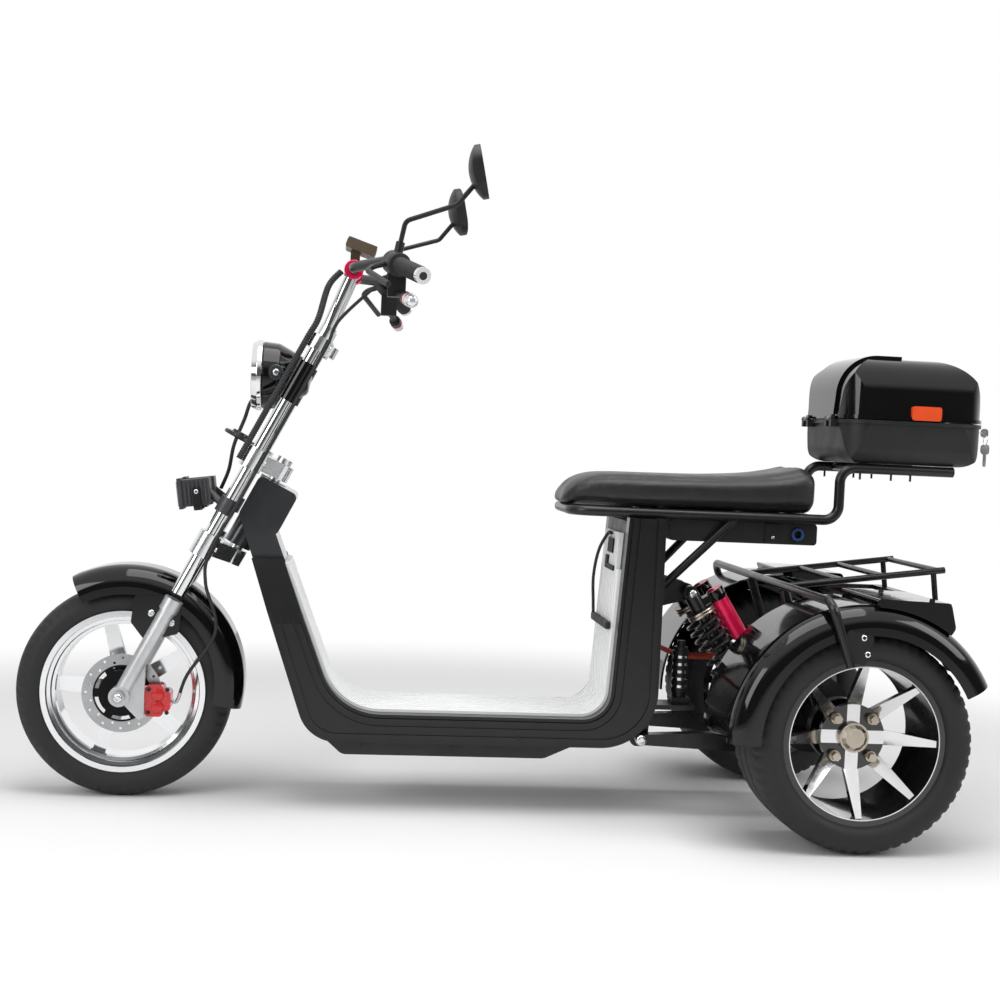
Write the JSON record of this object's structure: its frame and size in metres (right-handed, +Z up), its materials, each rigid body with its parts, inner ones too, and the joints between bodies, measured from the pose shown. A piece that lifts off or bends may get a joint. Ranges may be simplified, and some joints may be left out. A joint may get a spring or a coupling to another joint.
{
  "type": "three-wheeled electric scooter",
  "caption": "Three-wheeled electric scooter with a raked chrome fork, U-shaped footboard, long bench seat, wide rear wheels under mudguards, tube rack and lidded top box",
  "frame": {"origin": "on the ground, midway along the length and on the middle plane", "axes": "-X points forward, -Y to the rider's left, +Z up"},
  "size_m": [2.045, 0.922, 1.3668],
  "materials": {
    "black_steel": "satin black powder coat",
    "gloss_black": "gloss black moulding",
    "matte_black": "fine-grained black moulding",
    "dark_grey": "dark grey gloss moulding",
    "mat_grey": "pale grey ribbed rubber",
    "black_leather": "grained black covering",
    "chrome": "polished plating",
    "cast_alloy": "satin cast alloy",
    "polished_alloy": "polished alloy",
    "steel": "ground steel",
    "tyre": "road tyre",
    "rubber": "black rubber",
    "red_anodised": "red anodised",
    "red_paint": "red paint",
    "red_lens": "red-orange lens",
    "cable_red": "red-brown cable sheath",
    "black_rim": "black with bright machined spoke faces",
    "bronze": "pale bronze plating",
    "clear_lens": "clear lens",
    "mirror": "mirror glass"
  },
  "bodies": {
    "chassis": {"side_rails": "matte_black", "floor_pan": "matte_black", "floor_mat": "mat_grey", "riser_strap": "rubber", "belly_case": "matte_black", "neck": "dark_grey", "rear_post": "black_steel", "seat_frame": "black_steel", "seat": "black_leather", "battery_box": "matte_black", "canister": "matte_black", "swingarm": "black_steel", "axle_housing": "black_steel", "shock_springs": "black_steel", "shock_bodies": "black_steel", "shock_reservoirs": "red_anodised", "motor_cables": "cable_red", "rear_guards": "gloss_black", "guard_bar": "black_steel", "rack": "black_steel", "tail_lamp": "red_lens", "box_carrier": "black_steel", "box_base": "matte_black"},
    "front_wheel": {"front_tyre": "tyre", "front_rim": "polished_alloy", "brake_disc": "steel"},
    "rear_wheel_left": {"rear_tyre_left": "tyre", "rear_rim_left": "black_rim", "rear_nuts_left": "bronze"},
    "rear_wheel_right": {"rear_tyre_right": "tyre", "rear_rim_right": "black_rim", "rear_nuts_right": "bronze"},
    "lid": {"box_lid": "gloss_black", "box_reflectors": "red_lens"},
    "steering": {"fork_lowers": "cast_alloy", "fork_tubes": "chrome", "fork_clamps": "polished_alloy", "handlebar": "chrome", "grips": "rubber", "hand_controls": "matte_black", "display": "matte_black", "mirrors": "matte_black", "mirror_glass": "mirror", "headlamp_bowl": "gloss_black", "headlamp_rim": "chrome", "headlamp_lens": "clear_lens", "aux_lamps": "matte_black", "front_guard": "gloss_black", "brake_caliper": "red_paint", "front_axle": "steel", "hoses": "rubber"}
  },
  "joints": [
    {"name": "steer", "type": "hinge", "parent": "chassis", "child": "steering", "pos_m": [-0.53966, 0, 0.60989], "axis": [0.454, 0, 0.891], "range_deg": [-38, 38]},
    {"name": "front_wheel_spin", "type": "hinge", "parent": "steering", "child": "front_wheel", "pos_m": [-0.7975, 0, 0.225], "axis": [0, 1, 0], "continuous": true},
    {"name": "rear_wheel_left_spin", "type": "hinge", "parent": "chassis", "child": "rear_wheel_left", "pos_m": [0.6805, -0.323, 0.223], "axis": [0, 1, 0], "continuous": true},
    {"name": "rear_wheel_right_spin", "type": "hinge", "parent": "chassis", "child": "rear_wheel_right", "pos_m": [0.6805, 0.323, 0.223], "axis": [0, 1, 0], "continuous": true},
    {"name": "lid_hinge", "type": "hinge", "parent": "chassis", "child": "lid", "pos_m": [0.6855, 0, 0.866], "axis": [0, -1, 0], "range_deg": [0, 75]}
  ]
}
